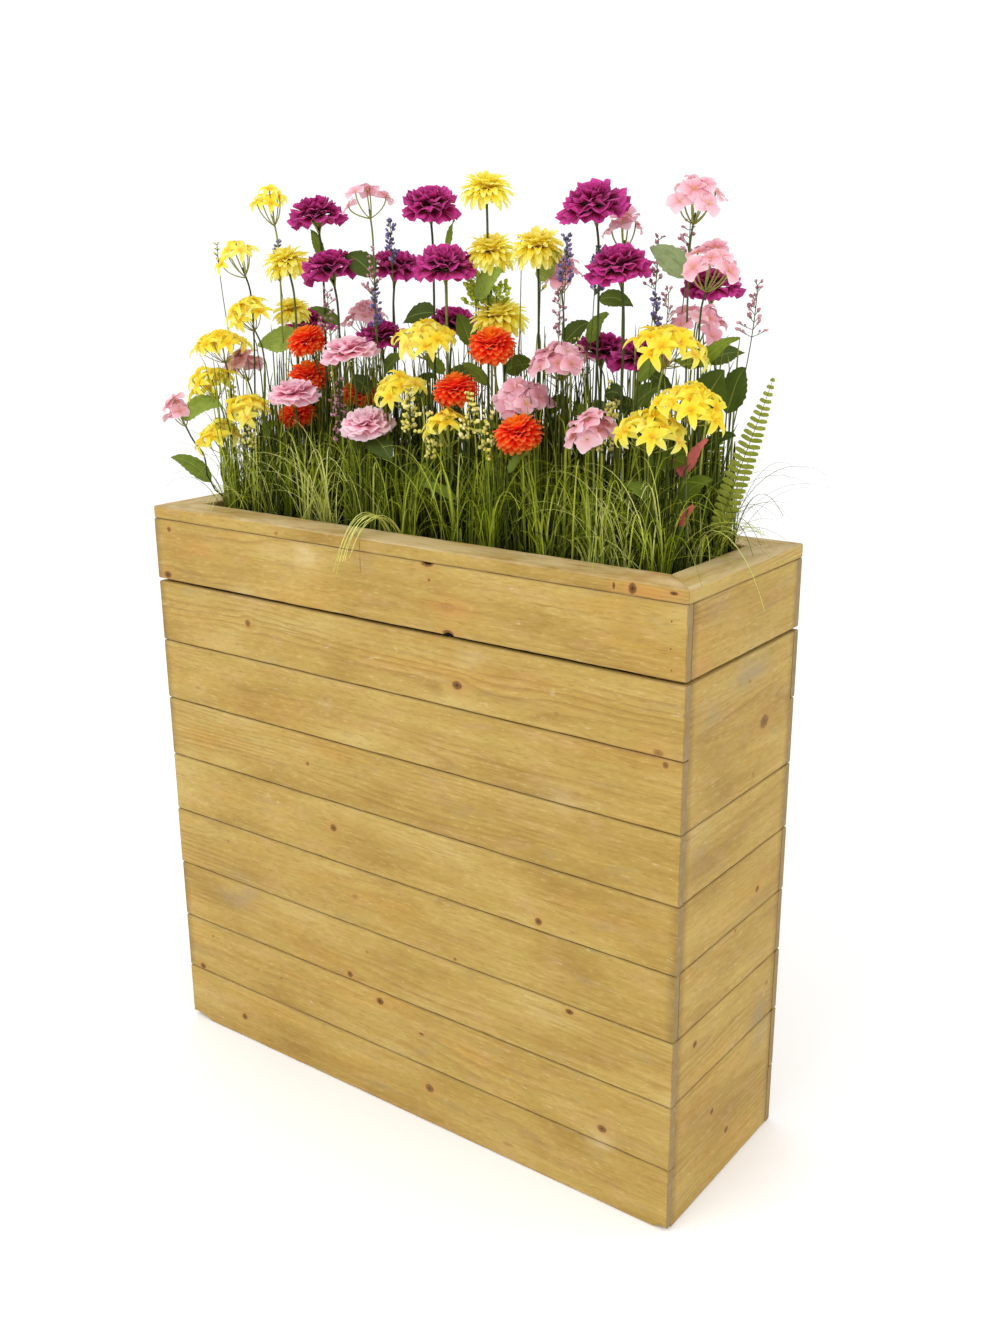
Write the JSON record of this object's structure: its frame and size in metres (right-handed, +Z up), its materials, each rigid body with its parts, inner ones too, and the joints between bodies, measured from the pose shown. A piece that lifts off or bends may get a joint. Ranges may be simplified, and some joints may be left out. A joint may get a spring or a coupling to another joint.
{
  "type": "wooden flower planter",
  "caption": "Tall narrow box of pine boards with a mitred rim, filled with bunches of artificial garden flowers, grass and ferns.",
  "frame": {"origin": "on the floor, under the middle of the box, at the middle of the base panel's underside", "axes": "+X along the front of the box to the right, +Y from the front to the back, +Z up"},
  "size_m": [1.0644, 0.357, 1.4043],
  "materials": {
    "pine": "sawn and lightly planed pine, unfinished, with knots",
    "pine_inside": "rough pine, unfinished",
    "bed": "dark dry foam, covered with moss",
    "grass": "moulded green grass and ferns, satin",
    "purple": "matt dyed cloth petals on green plastic stems",
    "pink": "matt dyed cloth petals on green plastic stems",
    "pale_pink": "matt dyed cloth petals on green plastic stems",
    "orange": "matt dyed cloth petals on green plastic stems",
    "yellow": "matt dyed cloth petals on green plastic stems"
  },
  "bodies": {
    "root": {"front_board_1": "pine", "front_board_2": "pine", "front_board_3": "pine", "front_board_4": "pine", "front_board_5": "pine", "front_board_6": "pine", "front_board_7": "pine", "front_board_8": "pine", "front_board_9": "pine", "back_board_1": "pine", "back_board_2": "pine", "back_board_3": "pine", "back_board_4": "pine", "back_board_5": "pine", "back_board_6": "pine", "back_board_7": "pine", "back_board_8": "pine", "back_board_9": "pine", "left_board_1": "pine", "left_board_2": "pine", "left_board_3": "pine", "left_board_4": "pine", "left_board_5": "pine", "left_board_6": "pine", "left_board_7": "pine", "right_board_1": "pine", "right_board_2": "pine", "right_board_3": "pine", "right_board_4": "pine", "right_board_5": "pine", "right_board_6": "pine", "right_board_7": "pine", "rim_front": "pine", "rim_right": "pine", "rim_back": "pine", "rim_left": "pine", "base_panel": "pine_inside", "corner_post_front_left": "pine_inside", "corner_post_front_right": "pine_inside", "corner_post_back_left": "pine_inside", "corner_post_back_right": "pine_inside", "shelf": "pine_inside", "planting_bed": "bed", "greenery_mat": "grass", "purple_carnations_left": "purple", "purple_carnations_centre": "purple", "purple_carnations_right": "purple", "pink_carnations": "pink", "orange_pompoms_left": "orange", "orange_pompoms_centre": "orange", "yellow_flowers_left": "yellow", "yellow_flowers_centre": "yellow", "yellow_flowers_right": "yellow", "pink_umbels_left": "pale_pink", "pink_umbels_centre": "pale_pink", "pink_umbels_right": "pale_pink"}
  },
  "joints": []
}
